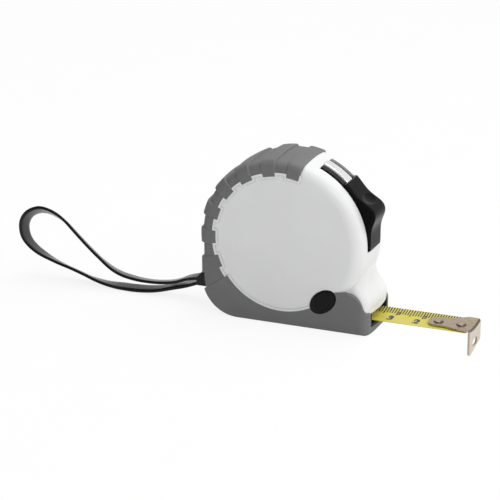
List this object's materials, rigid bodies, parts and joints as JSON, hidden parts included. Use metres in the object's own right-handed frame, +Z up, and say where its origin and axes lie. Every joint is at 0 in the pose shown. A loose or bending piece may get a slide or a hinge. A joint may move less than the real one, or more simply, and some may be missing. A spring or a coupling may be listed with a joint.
{
  "type": "tape measure",
  "caption": "Pocket tape measure with a round white case, grey rubber grip, sliding thumb lock, cambered yellow blade with an end hook, side button and wrist strap.",
  "frame": {"origin": "on the flat base, straight under the reel axis and midway between the side faces", "axes": "+X the way the blade leaves the mouth, +Y from the button face towards the clip face, +Z up from the base"},
  "size_m": [0.1836, 0.0301, 0.0672],
  "materials": {
    "white_plastic": "satin white plastic",
    "grey_rubber": "matt grey moulded rubber",
    "dark_plastic": "matt black plastic",
    "black_plastic": "gloss black plastic",
    "silver_trim": "bright plated strip",
    "pad_rubber": "matt black rubber",
    "steel": "bare steel",
    "reel_plastic": "plain grey plastic",
    "yellow_blade": "yellow lacquered steel with black graduations",
    "hook_steel": "plated steel",
    "strap_fabric": "black woven strap"
  },
  "bodies": {
    "case": {"near_shell": "white_plastic", "far_shell": "white_plastic", "rubber_grip": "grey_rubber", "mouth_bumper": "dark_plastic", "lock_track": "dark_plastic", "track_trim": "silver_trim", "button_retainer": "dark_plastic", "button_spring": "steel", "centre_post": "steel", "case_screws": "steel", "belt_clip": "steel", "clip_screw": "steel", "strap_anchor": "dark_plastic", "strap_pin": "steel", "wrist_strap": "strap_fabric"},
    "reel": {"reel_drum": "reel_plastic", "reel_cover": "reel_plastic", "tape_coil": "yellow_blade", "power_spring": "steel"},
    "blade": {"tape_blade": "yellow_blade", "hook_rivets": "hook_steel"},
    "hook": {"end_hook": "hook_steel"},
    "lock": {"lock_slider": "black_plastic", "lock_tongue": "dark_plastic", "lock_pad": "pad_rubber"},
    "button": {"side_button": "black_plastic", "brake_pad": "pad_rubber"}
  },
  "joints": [
    {"name": "reel_spin", "type": "hinge", "parent": "case", "child": "reel", "pos_m": [0, 0, 0.031], "axis": [0, -1, 0], "range_deg": [-92.4, 45]},
    {"name": "blade_slide", "type": "slide", "parent": "case", "child": "blade", "axis": [1, 0, 0], "range_m": [-0.0347, 0.017]},
    {"name": "hook_float", "type": "slide", "parent": "blade", "child": "hook", "axis": [1, 0, 0], "range_m": [-0.0005, 0.0005]},
    {"name": "lock_slide", "type": "hinge", "parent": "case", "child": "lock", "pos_m": [0, 0, 0.031], "axis": [0, -1, 0], "range_deg": [0, 17]},
    {"name": "button_press", "type": "slide", "parent": "case", "child": "button", "axis": [0, 1, 0], "range_m": [0, 0.001], "stiffness_N_per_m": 400, "deforming": ["button_spring"]}
  ],
  "couplings": [
    {"joint": "blade_slide", "follows": "reel_spin", "m_per_rad": 0.0215}
  ]
}
